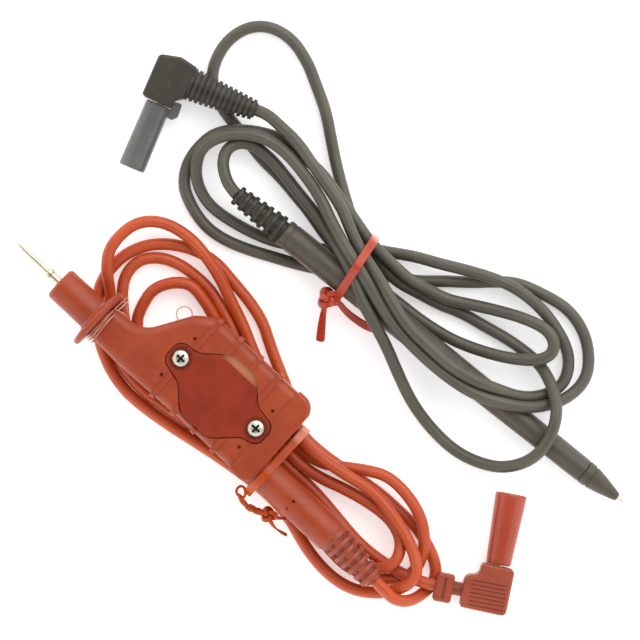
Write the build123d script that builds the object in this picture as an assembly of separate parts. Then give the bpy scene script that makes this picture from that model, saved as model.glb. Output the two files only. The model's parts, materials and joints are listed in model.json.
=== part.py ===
"""A pair of multimeter test leads, tied up for storage and lying on a bench.

The red lead has a fat two-shell probe with a screwed cover plate, and the black lead a slim
pencil probe.  Each ends in a right-angle 4 mm plug under a pull-off cap.  Millimetres, +Z up,
the bench at Z = 0.  The red probe points along -X, and its axis is the line Y = 0 while the
pieces are built; at the end everything moves so that the origin is under the probes' middle.
"""

from build123d import *

import math
import os

# ---------------------------------------------------------------- driving dimensions
CORD_R = 2.0
TOUCH = 0.3                      # room between a hank and the hard pieces it lies against
RUN = 0.05                       # radial room of a sliding cap

BENCH = 0.05                     # soft and flat pieces lie this little above the bench
RED_Z = 11.5                     # one layer of cord lies under the body
NEEDLE_R = 1.0
NEEDLE_CONE = 3.3
NEEDLE_NECK = (14.0, 0.8)        # the needle steps down here, and this shank sits in the collar
COLLAR_X = 14.2
BARREL_X = 19.3
GUARD_X = 35.4
GUARD_R = 11.2
GUARD_FLAT = 4.3                 # the guard is flat underneath, so that the probe can't roll
BODY_X0 = 38.0
BODY_X1 = 110.0
TAIL_X1 = 142.0
RELIEF_X1 = 162.0
RELIEF_LEAN = 3.5                # degrees that the strain relief bends off the probe's axis
TUBE_R = 5.85                    # barrel and tail
WALL = 1.8
BODY_Z0 = 4.6
BODY_Z1 = 20.6
SCREW_X = (65.7, 99.2)
SCREW_Y = 9.1
HEAD_R = 3.0
MARK_X = (64.7, 99.4)            # four small round moulding marks around the cover's edge
MARK_Y = (0.9, 17.0)
BOARD_X = 82.4
BOARD_Y = 18.2
RIB_X = (67.0, 76.0, 84.8, 93.7)
RIB_WIDTH = 1.7
RIB_PROUD = 0.7                  # how far the ribs stand out at the sides, and over the top
RIB_LIFT = 0.4
BAND_X = (101.6, 109.2)
PLATE_DEPTH = 1.3

BLACK_START = (42.3, 60.8)       # cord end of the pencil probe
BLACK_LENGTH = 163.4
BLACK_TURN = 4.5                 # degrees from +X, seen from above
BLACK_DIP = 3.0                  # degrees that its nose hangs down, on to the bench
BLACK_BARREL = (20.0, 146.4)
BLACK_R = (4.65, 4.0)
SHOULDER = (BLACK_BARREL[1] + 2.6, BLACK_R[1] - 0.05)
BLACK_Z = (SHOULDER[0] * math.sin(math.radians(BLACK_DIP))
           + SHOULDER[1] * math.cos(math.radians(BLACK_DIP)))

PLUG_Z = 5.6                     # both plugs lie flat
PIN_R = 2.0
PIN_LENGTH = 19.0
CAP_WALL = 0.9

os.makedirs("parts", exist_ok=True)
parts = {}


# ---------------------------------------------------------------- helpers
def turned(outline):
    """Solid turned about X from (x, radius) points."""
    points = [(outline[0][0], 0.0)] + list(outline) + [(outline[-1][0], 0.0)]
    return revolve(make_face(Polyline(*points, close=True)), Axis.X)


def slab(x0, x1, half=60.0):
    """Everything between two planes across X."""
    return Pos((x0 + x1) / 2, 0, 0) * Box(x1 - x0, 2 * half, 2 * half)


def plate(points, radii, z0, z1, grow=0.0):
    """Rounded outline raised from z0 to z1."""
    face = make_face(FilletPolyline(*points, radius=radii, close=True))
    if grow:
        face = offset(face, grow)
    return Pos(0, 0, z0) * extrude(face, amount=z1 - z0)


def rounded(solid, edges, sizes):
    """Fillet with the first of the sizes that the edges can take."""
    for size in sizes:
        try:
            result = fillet(edges, size)
            if result.is_valid and result.volume > 0.5 * solid.volume:
                return result
        except Exception:
            continue
    print("edge left sharp")
    return solid


def cord_tube(name, route):
    """Straight runs joined by arcs as large as the two runs allow."""
    points = [Vector(*p) for p in route]
    radii = []
    for before, here, after in zip(points, points[1:], points[2:]):
        turn = math.radians((here - before).get_angle(after - here))
        shorter = min((here - before).length, (after - here).length)
        radii.append(0.45 * shorter / math.tan(turn / 2))
    path = FilletPolyline(*points, radius=radii)
    tube = sweep(Plane(origin=path @ 0, z_dir=path % 0) * Circle(CORD_R), path=path)
    ideal = math.pi * CORD_R**2 * path.length
    print(name, "radii", [round(r, 1) for r in radii], "length", round(path.length, 1),
          "volume ratio", round(tube.volume / ideal, 4))
    parts[name] = tube


# ---------------------------------------------------------------- red probe: nose
def red_nose():
    inner_x = 24.0
    neck_x, shank_r = NEEDLE_NECK
    parts["red_needle"] = turned([
        (0.0, 0.08), (NEEDLE_CONE, NEEDLE_R), (neck_x, NEEDLE_R), (neck_x + 0.05, shank_r),
        (inner_x, shank_r)])
    collar = turned([
        (COLLAR_X, 1.5), (COLLAR_X + 0.4, 1.85), (COLLAR_X + 1.4, 1.85),
        (COLLAR_X + 1.7, 1.5), (inner_x + 3.0, 1.5)])
    parts["red_needle_collar"] = collar - turned([(0, shank_r), (inner_x, shank_r)])
    socket = turned([(20.8, 2.6), (33.5, 2.6), (33.5, 1.6), (37.0, 1.6)])
    parts["tip_socket"] = socket - turned([(18, 1.5), (inner_x + 3.0, 1.5)])
    guard = turned([
        (GUARD_X - 1.0, 5.9), (GUARD_X - 0.3, 6.6), (GUARD_X + 0.3, 10.6),
        (GUARD_X + 0.8, GUARD_R - 0.15), (GUARD_X + 1.3, GUARD_R), (GUARD_X + 1.8, GUARD_R - 0.15),
        (GUARD_X + 2.3, 10.6), (BODY_X0, 6.9)])
    guard -= turned([(0, TUBE_R), (BODY_X0 + 1, TUBE_R)])
    parts["finger_guard"] = guard - Pos(GUARD_X, 0, GUARD_FLAT - RED_Z - 10) * Box(20, 60, 20)


# ---------------------------------------------------------------- red probe: body
BODY_OUTLINE = [
    (BODY_X0, -5.85), (BODY_X0, 6.3), (50.0, 7.0), (59.3, 22.4), (65.5, 27.2),
    (107.0, 27.0), (109.2, 22.5), (BODY_X1, -6.2), (80.0, -5.6), (50.0, -6.5)]
BODY_RADII = [0.4, 0.4, 9.0, 8.0, 7.0, 4.5, 6.0, 4.0, 120.0, 120.0]
BODY_BELOW = [(BODY_X0, 5.7), (45.0, 5.6), (56.0, BODY_Z0), (BODY_X1 + 3, BODY_Z0)]
BODY_ABOVE = [(BODY_X1 + 3, BODY_Z1), (60.0, BODY_Z1), (47.0, 17.4), (BODY_X0, 17.3)]
BODY_SIDE_RADII = [0, 30, 30, 0, 0, 30, 20, 0]
RECESS = [                       # round at both screws, with a wide middle
    (61.2, 4.9), (61.2, 13.5), (69.0, 14.6), (77.3, 21.7), (87.5, 22.1), (95.0, 14.9),
    (103.7, 13.4), (103.7, 4.9), (98.0, 3.6), (89.7, -4.5), (77.5, -4.6), (70.5, 2.4)]
RECESS_RADII = [3.6, 3.6, 5, 7, 7, 5, 3.6, 3.6, 5, 7, 7, 5]
PLATE_EDGE_Y = 18.9              # the plate stops short of the recess on this side


def body_block(grow, lift):
    """Outside of the body, grown all round and lifted on its top, but not underneath."""
    plan = plate(BODY_OUTLINE, BODY_RADII, -10, 50, grow)
    above = [(x, z + lift) for x, z in BODY_ABOVE]
    side = FilletPolyline(*BODY_BELOW, *above, radius=BODY_SIDE_RADII, close=True)
    block = plan & extrude(Plane.XZ * make_face(side), amount=80, both=True)
    long_edges = [
        e for e in block.edges()
        if e.length > 5 and abs(e.center().Z - RED_Z) > 4.5
        and e.center().X > BODY_X0 + 0.5]
    return rounded(block, long_edges, (4.0, 3.2, 2.4, 1.6, 1.0))


def red_shells():
    outer = body_block(0, 0)
    tube = turned([
        (BARREL_X, 5.0), (BARREL_X + 0.5, 5.6), (BARREL_X + 1.0, TUBE_R),
        (TAIL_X1 - 0.6, TUBE_R), (TAIL_X1, TUBE_R - 0.5)])
    tube = Pos(0, 0, RED_Z) * tube
    shell = outer + tube
    fat = body_block(RIB_PROUD, RIB_LIFT)
    for x in RIB_X:
        shell += fat & slab(x - RIB_WIDTH / 2, x + RIB_WIDTH / 2)
    shell += fat & slab(*BAND_X)
    # the hollow
    hollow = plate(BODY_OUTLINE, BODY_RADII, BODY_Z0 + WALL, BODY_Z1 - 3.4, -2.2)
    hollow = hollow & slab(BODY_X0 + 6, BODY_X1 - 1.6)
    bore = Pos(0, 0, RED_Z) * turned([(20.8, 2.6), (33.5, 2.6), (33.5, 3.6), (48.0, 3.6)])
    throat = Pos(0, 0, RED_Z) * turned([(18, 1.5), (20.9, 1.5)])
    tail_bore = Pos(0, 0, RED_Z) * turned([(BODY_X1 - 4, 4.2), (TAIL_X1 + 1, 4.2)])
    shell -= hollow + bore + throat + tail_bore
    # screw pillars stand in both halves
    for x in SCREW_X:
        pillar = Pos(x, SCREW_Y, RED_Z) * Cylinder(3.1, BODY_Z1 - BODY_Z0 - 4)
        shell += pillar
    lower = shell & (Pos(80, 0, RED_Z - 25) * Box(200, 200, 50))
    upper = shell & (Pos(80, 0, RED_Z + 25) * Box(200, 200, 50))
    # recess for the plate, which also cuts the ribs short
    recess = plate(RECESS, RECESS_RADII, BODY_Z1 - PLATE_DEPTH, BODY_Z1 + 5)
    upper -= recess
    for x in SCREW_X:
        upper -= Pos(x, SCREW_Y, BODY_Z1) * Cylinder(1.6, 40)
        lower -= Pos(x, SCREW_Y, RED_Z) * Cylinder(1.25, 9)
    for x in MARK_X:
        for y in MARK_Y:
            upper -= Pos(x, y, BODY_Z1) * Cylinder(0.6, 2.4)
    for y in (-0.1, -3.4):
        upper -= Pos(124.6, y, RED_Z + 5.6) * Box(1.0, 1.0, 2.4)
    parts["upper_shell"] = upper
    parts["lower_shell"] = lower


def red_cover():
    blank = plate(RECESS, RECESS_RADII, BODY_Z1 - PLATE_DEPTH, BODY_Z1 - 0.1, -0.25)
    cut = Pos(82, PLATE_EDGE_Y + 10, BODY_Z1) * Box(60, 20, 10)
    cover = blank - cut
    top = [e for e in cover.edges() if e.center().Z > BODY_Z1 - 0.2]
    cover = rounded(cover, top, (0.35, 0.2))
    for x in SCREW_X:
        cover -= Pos(x, SCREW_Y, BODY_Z1) * Cylinder(1.6, 10)
        cover -= Pos(x, SCREW_Y, BODY_Z1 + 0.1) * Cylinder(HEAD_R + 0.8, 0.9)
    parts["cover_plate"] = cover


def pan_screw(x):
    seat = BODY_Z1 - 0.35
    head = turned([(seat, HEAD_R - 0.15), (seat + 0.9, HEAD_R), (seat + 1.5, HEAD_R - 0.5),
                   (seat + 1.9, HEAD_R - 1.5), (seat + 2.0, 0.6)])
    head = Rot(0, -90, 0) * head
    shank = Pos(0, 0, seat - 6.0) * Cylinder(1.25, 12.0)
    drive = Pos(0, 0, seat + 1.7) * (Box(3.4, 0.75, 1.6) + Box(0.75, 3.4, 1.6))
    return Pos(x, SCREW_Y, 0) * (head + shank - drive)


def red_inside():
    board_z = RED_Z - 2.4
    board = Pos(BOARD_X, BOARD_Y, board_z) * Box(35.0, 10.4, 1.6)
    parts["circuit_board"] = board
    part_z = board_z + 0.8
    body = Pos(BOARD_X, BOARD_Y, part_z + 2.0) * turned([
        (-6.0, 1.6), (-5.6, 2.0), (5.6, 2.0), (6.0, 1.6)])
    parts["input_resistor"] = body
    wires = []
    for side in (-1, 1):
        wire = Pos(BOARD_X + side * 9, BOARD_Y, part_z + 2.0) * turned([(-3.0, 0.4), (3.0, 0.4)])
        foot = Pos(BOARD_X + side * 12, BOARD_Y, part_z + 1.2) * Cylinder(0.4, 2.4)
        wires.append(wire + foot)
    parts["resistor_leads"] = Compound(wires)
    lug_outline = [(38.0, -1.4), (47.5, -1.4), (47.5, 1.4), (38.0, 1.4)]
    lug = Pos(0, 0, RED_Z) * plate(lug_outline, [0.5] * 4, -0.3, 0.3)
    parts["tip_lug"] = lug
    clamp = Pos(112.5, 0, RED_Z) * Rot(0, 90, 0) * (Cylinder(4.0, 5.0) - Cylinder(1.2, 20.0))
    parts["cord_clamp"] = clamp


# ---------------------------------------------------------------- strain reliefs
def ribbed_sleeve(length, r0, r1, core0, core1, count, rib):
    """Rings on a tapered core, joined by bars on alternate sides."""
    core = turned([(0, core0), (length, core1)])
    pitch = length / count
    sleeve = core
    for i in range(count):
        x = i * pitch
        radius = r0 + (r1 - r0) * (i + 0.5) / count
        sleeve += turned([
            (x, radius - 0.35), (x + 0.3, radius), (x + rib - 0.3, radius),
            (x + rib, radius - 0.35)])
        if i + 1 < count:
            bar = Box(pitch - rib + 0.4, 2.6, 2 * radius - 0.9)
            bar = Pos(x + (rib + pitch) / 2, 0, 0) * Rot(90 * (i % 2), 0, 0) * bar
            sleeve += bar
    return sleeve


def red_relief():
    root = turned([(BODY_X1 + 6, 4.2), (BODY_X1 + 8, 3.6), (TAIL_X1 - 4, 3.6),
                   (TAIL_X1 - 3, 4.2), (TAIL_X1, 4.2), (TAIL_X1, 5.4), (TAIL_X1 + 0.6, 5.4)])
    sleeve = ribbed_sleeve(RELIEF_X1 - TAIL_X1, 5.5, 4.1, 4.0, 2.9, 7, 1.7)
    sleeve = Pos(TAIL_X1, 0, 0) * Rot(0, 0, -RELIEF_LEAN) * sleeve
    sleeve = sleeve & slab(TAIL_X1, RELIEF_X1 + 5)
    parts["red_strain_relief"] = Pos(0, 0, RED_Z) * (root + sleeve)


# ---------------------------------------------------------------- red plug
RED_PLUG = Pos(188.5, 11.1, PLUG_Z) * Rot(0, 0, 32.3)
RED_CAP = (10.2, 16.45, 23.6)    # the cap's axis and base in the plug's own frame, and its length
RED_CAP_TRAVEL = 6.0
CAP_BASE_R = 4.2
CAP_BORE_R = 3.3
SOCKET_R = 1.5                   # the contact's root in the moulded body


def banana_pin(length):
    """4 mm contact with a bulged spring cage, along +Y from the origin."""
    core = turned([(-9.0, 1.5), (0.0, 1.5), (0.0, 2.0), (2.6, 2.0), (2.6, 1.45),
                   (length - 1.6, 1.45), (length - 1.6, 1.9), (length - 0.6, 1.7), (length, 1.0)])
    cage = turned([(2.7, 1.5), (3.6, 1.65), (6.5, 2.1), (9.5, 2.25), (12.5, 2.1),
                   (length - 2.8, 1.65), (length - 1.7, 1.5)])
    cage -= turned([(2.0, 1.46), (length, 1.46)])
    for i in range(4):
        slot = Pos((length + 1.0) / 2, 0, 0) * Rot(45 * i, 0, 0) * Box(length - 7.0, 0.5, 8)
        cage -= slot
    along_y = Rot(0, 0, 90)
    return along_y * core, along_y * cage


def pull_cap(length, r_base, r_end, r_bore):
    """Open-ended protective sleeve along +Y from the origin."""
    cap = turned([(0, r_base - 0.3), (0.4, r_base), (length - 0.5, r_end), (length, r_end - 0.2)])
    cap -= turned([(-1, r_bore), (length - 2.2, r_end - CAP_WALL), (length + 1, r_end - CAP_WALL)])
    return Rot(0, 0, 90) * cap


def red_plug():
    half = PLUG_Z - BENCH
    elbow = plate([(0, 0.6), (0, 11.6), (4.4, 11.9), (4.9, 16.2), (15.8, 15.8), (15.5, 0.2)],
                  [1.2, 2.5, 2.2, 1.2, 1.6, 1.6], -half, half)
    rims = [e for e in elbow.edges() if abs(abs(e.center().Z) - half) < 0.01]
    elbow = rounded(elbow, rims, (1.0, 0.6))
    for i in range(7):
        y = 1.9 + 1.35 * i
        groove = Pos(8.4, y, 0) * Box(11.5, 0.5, 30)
        keep = Pos(8.4, y, 0) * Box(30, 2, 2 * half - 0.7)
        elbow -= groove - keep
    neck = Pos(-1.6, 6.1, 0) * Rot(0, 90, 0) * Cylinder(2.3, 3.6)
    block = plate([(-9.2, 1.0), (-8.7, 10.4), (-3.0, 10.4), (-3.2, 0.9)], 1.0, -4.4, 4.4)
    rims = [e for e in block.edges() if abs(abs(e.center().Z) - 4.4) < 0.01]
    block = rounded(block, rims, (0.9, 0.5))
    block -= Pos(-6.0, 5.6, 0) * (Box(1.0, 7.0, 20) - Box(2.0, 10.0, 7.6))
    axis_x, base_y, length = RED_CAP
    socket = Pos(axis_x, 7.0, 0) * Rot(0, 0, 90) * turned([(0, SOCKET_R), (9.3, SOCKET_R)])
    parts["red_plug_elbow"] = RED_PLUG * (elbow + neck + block - socket)
    pin, cage = banana_pin(PIN_LENGTH)
    place = RED_PLUG * Pos(axis_x, base_y - 0.15, 0)
    parts["red_plug_pin"] = place * pin
    parts["red_plug_spring"] = place * cage
    cap = pull_cap(length, CAP_BASE_R, 5.25, CAP_BORE_R)
    parts["red_plug_cap"] = RED_PLUG * Pos(axis_x, base_y, 0) * cap


# ---------------------------------------------------------------- black probe
BLACK = (Pos(BLACK_START[0], BLACK_START[1], BLACK_Z)
         * Rot(0, 0, BLACK_TURN) * Rot(0, BLACK_DIP, 0))


def black_probe():
    b0, b1 = BLACK_BARREL
    r0, r1 = BLACK_R
    barrel = turned([
        (b0 - 0.4, r0 - 0.5), (b0, r0), (b0 + 1.6, r0), (b0 + 1.9, r0 - 0.25),
        (b0 + 2.3, r0 - 0.25), (b0 + 2.6, r0), (b0 + 60, r0 - 0.1), (b1 - 6, r1 + 0.05),
        (b1 - 0.3, r1), (b1, r1 - 0.3), (b1, 2.4), (b1 + 7.0, 2.4)])
    bore = turned([(0, 1.5), (b0 + 6, 1.5), (b0 + 6, 1.3), (BLACK_LENGTH, 1.3)])
    parts["black_barrel"] = BLACK * (barrel - bore)
    rod = turned([(b0 + 6, 1.3), (b1 + 7.0, 1.3), (b1 + 7.0, 0.95),
                  (BLACK_LENGTH - 2.6, 0.95), (BLACK_LENGTH, 0.08)])
    parts["black_needle"] = BLACK * rod
    cap_x1 = BLACK_LENGTH - 2.9
    cap = turned([
        (b1 + 0.1, r1 - 0.25), (b1 + 0.4, r1), (b1 + 2.6, r1 - 0.05), (b1 + 2.9, r1 - 0.4),
        (b1 + 3.3, r1 - 0.4), (b1 + 3.6, r1 - 0.15), (b1 + 8.0, 2.95), (cap_x1 - 0.5, 1.55),
        (cap_x1, 1.25)])
    cap -= turned([(b1, 2.4 + RUN), (b1 + 7.3, 2.4 + RUN), (b1 + 7.3, 0.95 + RUN),
                   (BLACK_LENGTH, 0.95 + RUN)])
    parts["black_tip_cap"] = BLACK * cap
    sleeve = ribbed_sleeve(b0 - 0.5, 3.4, 4.7, 2.6, 3.4, 7, 1.6)
    root = turned([(b0 - 0.5, 1.5), (b0 + 6, 1.5)])
    parts["black_strain_relief"] = BLACK * (sleeve + root)


# ---------------------------------------------------------------- black plug
BLACK_PLUG = Pos(-3.0, 63.5, PLUG_Z) * Rot(0, 0, 20.0)
BLACK_CAP = (6.1, -0.55, 22.9)


def black_plug():
    half = PLUG_Z - BENCH
    outline = [(0, 0), (0.1, 14.7), (7.2, 16.5), (13.0, 15.4), (13.0, 4.2), (10.6, 2.6),
               (10.4, -0.3)]
    elbow = plate(outline, [1.0, 1.6, 2.2, 0, 0, 1.0, 0.8], -half, half)
    rims = [e for e in elbow.edges()
            if abs(abs(e.center().Z) - half) < 0.01 and e.center().X < 12.5]
    elbow = rounded(elbow, rims, (1.1, 0.7))
    sections = ((11.0, 9.7, 0.0, 5.7, 5.4), (24.0, 9.6, 2.9, 4.7, 3.9), (36.6, 9.9, 2.5, 3.3, 3.3))

    def tapered(shrink):
        faces = []
        for x, y, z, wide, tall in sections:
            place = Plane(origin=(x, y, z), x_dir=(0, 1, 0), z_dir=(1, 0, 0))
            faces.append(place * Ellipse(wide - shrink, tall - shrink))
        return loft(faces)

    handle = tapered(0.75)
    skin = tapered(0)
    first_x, last_x = sections[0][0], sections[-1][0]
    rib_pitch = 1.83
    rib_width = 1.15
    for i in range(14):
        x = first_x + i * rib_pitch
        handle += skin & slab(x, x + rib_width)
    handle = handle & slab(first_x, last_x)
    axis_x, base_y, length = BLACK_CAP
    rod = Rot(0, 0, -90) * turned([(-9.3, SOCKET_R), (0.5, SOCKET_R)])
    place = BLACK_PLUG * Pos(axis_x, base_y + 0.15, 0)
    parts["black_plug_elbow"] = BLACK_PLUG * (elbow + handle) - place * rod
    pin, cage = banana_pin(PIN_LENGTH)
    place = place * Rot(0, 0, 180)
    parts["black_plug_pin"] = place * pin
    parts["black_plug_spring"] = place * cage
    cap = pull_cap(length, CAP_BASE_R, 4.45, CAP_BORE_R)
    cap = BLACK_PLUG * Pos(axis_x, base_y, 0) * Rot(0, 0, 180) * cap
    tab_outline = [(9.9, -3.4), (10.75, 2.2), (13.4, 2.4), (13.6, -2.2), (12.0, -3.8)]
    tab = plate(tab_outline, 0.7, -1.3, 1.3)
    parts["black_plug_cap"] = cap + BLACK_PLUG * tab


# ---------------------------------------------------------------- ties
def band(points, radii, x0, x1, thick):
    """Ring of flat tie wire around an outline in the YZ plane."""
    inner = make_face(FilletPolyline(*points, radius=radii, close=True))
    ring = offset(inner, thick) - inner
    return Pos(x0, 0, 0) * extrude(Plane.YZ * ring, amount=x1 - x0)


def ties():
    around = [(-8.2, 1.0), (-8.2, 5.4), (-4.6, 18.0), (4.8, 18.0), (16.5, 9.0), (16.5, 1.0)]
    parts["red_rear_tie"] = band(around, [1.5, 4, 5, 5, 3.5, 1.5], 111.4, 113.6, 0.8)
    waist = [(-8.5, 1.0), (-8.5, 12.0), (-3.0, 19.0), (10.0, 18.5), (15.5, 10.0), (15.5, 1.0)]
    tie = band(waist, [1.5, 5, 5, 5, 5, 1.5], -1.4, 1.4, 0.8)
    parts["black_tie"] = Pos(85.5, 67.0, 0) * Rot(0, 0, 4.0) * tie
    front = [(-7.2, 0.9), (-7.2, 14.5), (-4.0, 18.5), (5.0, 18.5), (13.0, 6.0), (13.0, 0.9)]
    parts["red_front_tie"] = band(front, [1.5, 4, 3, 4, 3, 1.5], 39.4, 40.2, 0.5)
    ring = Pos(56.6, 20.3, 13.0) * Torus(2.6, 0.25)
    parts["tag_loop"] = ring - body_block(0, 0)


# ---------------------------------------------------------------- hanks
RED_HANK = [
    (31, 2), (27, 10), (20.5, 19), (20, 28), (24, 36), (31, 40.5), (42, 43.0), (54, 43.2),
    (72, 40), (89, 33), (101, 26), (112, 17.5), (123, 20.5), (133, 26), (143, 30), (153, 31),
    (162, 28), (170, 21.5), (177, 15), (179, 5), (176, -1.5), (169, -6), (161, -10),
    (153, -12.8), (143, -12.6), (132, -10.4), (120, -9), (108, -8.6), (94, -10), (80, -12.2),
    (68, -14), (57, -14.2), (46, -11), (37, -5)]
BLACK_HANK = [
    (83, 83), (69, 88.5), (57.5, 96), (43, 105.5), (29, 112.5), (16, 114), (6, 110),
    (0.5, 102), (-0.5, 92), (4, 83), (13, 77), (19, 73), (17.5, 65), (19.5, 56), (25, 49),
    (35, 44.8), (47, 44.4), (60, 47.5), (75, 55.5), (86, 57), (94, 59), (104, 55), (117, 48.5),
    (131, 44), (145, 42.5), (160, 45), (170, 52), (176, 61), (177.5, 71), (173.5, 82),
    (171.5, 95), (166, 104.5), (157, 110.5), (146, 112), (135, 110.5), (124, 105.5),
    (112, 99), (101, 91.5), (93, 86.5)]
BLACK_CROWN = [
    (70, 60), (70, 88), (84, 83), (100, 90), (110, 96), (150, 75), (160, 66), (150, 56),
    (110, 52), (92, 57)]
LAYERS_TOP = (8.4, 17.5)         # two layers of cord, and four where the tie gathers them


def hank_plate(points, z1):
    face = make_face(Polyline(*points, close=True))
    return Pos(0, 0, BENCH) * extrude(face, amount=z1 - BENCH)


def hanks():
    red = hank_plate(RED_HANK, LAYERS_TOP[0])
    keep_clear = plate(BODY_OUTLINE, BODY_RADII, BODY_Z0 - TOUCH, 40, RIB_PROUD + TOUCH)
    probe = Pos(0, 0, RED_Z) * turned([(0, TUBE_R + 0.4), (RELIEF_X1 + 1.0, TUBE_R + 0.4)])
    tail_side = plate([(100, -6.3), (164, -8.0), (164, 6.3), (100, 6.3)], 0.5, RED_Z, 40)
    guard_x = (GUARD_X + BODY_X0) / 2
    guard = Pos(guard_x, 0, GUARD_FLAT - TOUCH + 20) * Box(6.0, 2 * GUARD_R + 0.8, 40)
    block = RED_PLUG * Pos(-5.0, 6.0, 0) * Box(11.0, 14.0, 40)
    red = red - keep_clear - probe - guard - block - tail_side
    parts["red_hank"] = max(red.solids(), key=lambda s: s.volume)

    black = hank_plate(BLACK_HANK, LAYERS_TOP[0])
    black += hank_plate(BLACK_CROWN, LAYERS_TOP[1])
    pencil = BLACK * turned([(-1.0, 5.0), (BLACK_LENGTH, 4.4)])
    handle = BLACK_PLUG * Pos(16, 8.5, 2.0) * Box(46, 24, 15.8)
    axis_x, base_y, length = RED_CAP
    cap_path = Rot(0, 0, 90) * turned([(0, 5.7), (length + RED_CAP_TRAVEL + TOUCH, 5.7)])
    black = black - pencil - handle - RED_PLUG * Pos(axis_x, base_y, 0) * cap_path
    parts["black_hank"] = max(black.solids(), key=lambda s: s.volume)


RED_ENTRY = (161.96, -1.3, RED_Z)


def lead_ins():
    cord_tube("red_cord_probe_end", [
        RED_ENTRY, (167.0, -2.0, 11.2), (172.0, -0.6, 9.6), (175.2, 3.6, 7.4)])
    cord_tube("red_cord_plug_end", [
        (165.5, 5.0, 4.6), (170.0, 6.2, 5.0), (174.2, 8.9, 5.5), (178.0, 11.3, 5.6)])
    cord_tube("black_cord_probe_end", [
        (*BLACK_START, BLACK_Z), (38.4, 60.7, 11.5), (34.9, 62.3, 10.0), (32.6, 65.8, 8.0)])
    cord_tube("black_cord_plug_end", [
        (28.0, 85.3, 8.1), (32.0, 86.6, 8.6), (37.2, 87.0, 8.2), (42.0, 85.6, 7.0)])


# ---------------------------------------------------------------- build and write
red_nose()
for nose_piece in ("red_needle", "red_needle_collar", "tip_socket", "finger_guard"):
    parts[nose_piece] = Pos(0, 0, RED_Z) * parts[nose_piece]
red_shells()
red_cover()
parts["cover_screws"] = Compound([pan_screw(x) for x in SCREW_X])
red_inside()
red_relief()
red_plug()
black_probe()
black_plug()
ties()
hanks()
lead_ins()

ON_CORD = ("hank", "cord_", "tie", "plug")
rigid = Compound([s for n, s in parts.items() if not any(word in n for word in ON_CORD)])
box = rigid.bounding_box()
shift = Pos(-(box.min.X + box.max.X) / 2, -(box.min.Y + box.max.Y) / 2, 0)
print("origin moved by", shift.position, "probes' box", box.size, "lowest point", box.min.Z)
for name, shape in parts.items():
    moved = shift * shape
    moved.label = name
    export_step(moved, f"parts/{name}.step")
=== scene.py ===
# %% [markdown]
# # A pair of meter test leads
# Two hand-held probes, one red and fat, one black and slim, each on a soft 4 mm cord that ends in
# a right-angle plug.  Both cords are folded into loops and tied.  The hard pieces come ready made
# from the CAD model, which stays fixed.  This lesson adds what CAD is poor at: the cords as they
# really lie, the ties, and every surface finish.

import json
import math

import bmesh
import bpy
import numpy as np
from mathutils import Matrix, Vector
from mathutils.bvhtree import BVHTree


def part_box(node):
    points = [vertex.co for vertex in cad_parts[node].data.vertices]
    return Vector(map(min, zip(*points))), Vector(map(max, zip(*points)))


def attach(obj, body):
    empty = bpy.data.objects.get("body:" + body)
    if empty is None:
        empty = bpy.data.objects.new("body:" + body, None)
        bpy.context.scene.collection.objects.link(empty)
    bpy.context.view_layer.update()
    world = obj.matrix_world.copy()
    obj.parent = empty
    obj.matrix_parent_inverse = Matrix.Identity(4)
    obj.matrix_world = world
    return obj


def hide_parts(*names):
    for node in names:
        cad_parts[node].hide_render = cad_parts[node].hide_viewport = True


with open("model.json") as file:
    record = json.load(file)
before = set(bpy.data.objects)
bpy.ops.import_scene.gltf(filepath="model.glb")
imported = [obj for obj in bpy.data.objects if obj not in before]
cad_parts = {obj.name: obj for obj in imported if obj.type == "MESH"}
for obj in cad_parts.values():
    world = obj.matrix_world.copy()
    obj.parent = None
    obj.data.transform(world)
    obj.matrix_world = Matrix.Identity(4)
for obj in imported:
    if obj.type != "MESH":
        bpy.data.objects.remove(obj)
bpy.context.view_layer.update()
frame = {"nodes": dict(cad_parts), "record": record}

# %% [markdown]
# ## One ruler for everything
# The workshop drawing of these leads counts millimetres from the red needle's point, along the
# red probe (X), across to the black probe (Y) and up from the bench (Z).  The CAD model keeps its
# origin elsewhere, so one small function turns drawing millimetres into places in the model.

# %% The bench ruler
MM = 0.001
needle_low, needle_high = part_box("red_needle")
BENCH_X = needle_low.x
BENCH_Y = (needle_low.y + needle_high.y) / 2


def bench(x, y, z):
    """A place on the drawing, in millimetres, as a place in the model, in metres."""
    return Vector((BENCH_X + x * MM, BENCH_Y + y * MM, z * MM))


print("the drawing's origin is at", bench(0, 0, 0))

# %% [markdown]
# ## The camera
# The leads lie flat, so they are seen from straight above, turned so that the probes run from the
# upper left to the lower right.  A long lens from 1.6 m keeps everything nearly free of
# perspective, which is how a catalogue shows a part.

# %% The camera
SCENE = bpy.context.scene.collection
VIEW_CENTRE = (90.4, 49.3)
VIEW_HEIGHT = 1600
VIEW_TURN = math.radians(43)
LENS = 272
view = bpy.data.cameras.new("view_from_above")
view.lens = LENS
camera = bpy.data.objects.new("view_from_above", view)
camera.location = bench(*VIEW_CENTRE, VIEW_HEIGHT)
camera.rotation_euler = (0, 0, VIEW_TURN)
SCENE.objects.link(camera)
bpy.context.scene.camera = camera
print("camera at", camera.location)
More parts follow.
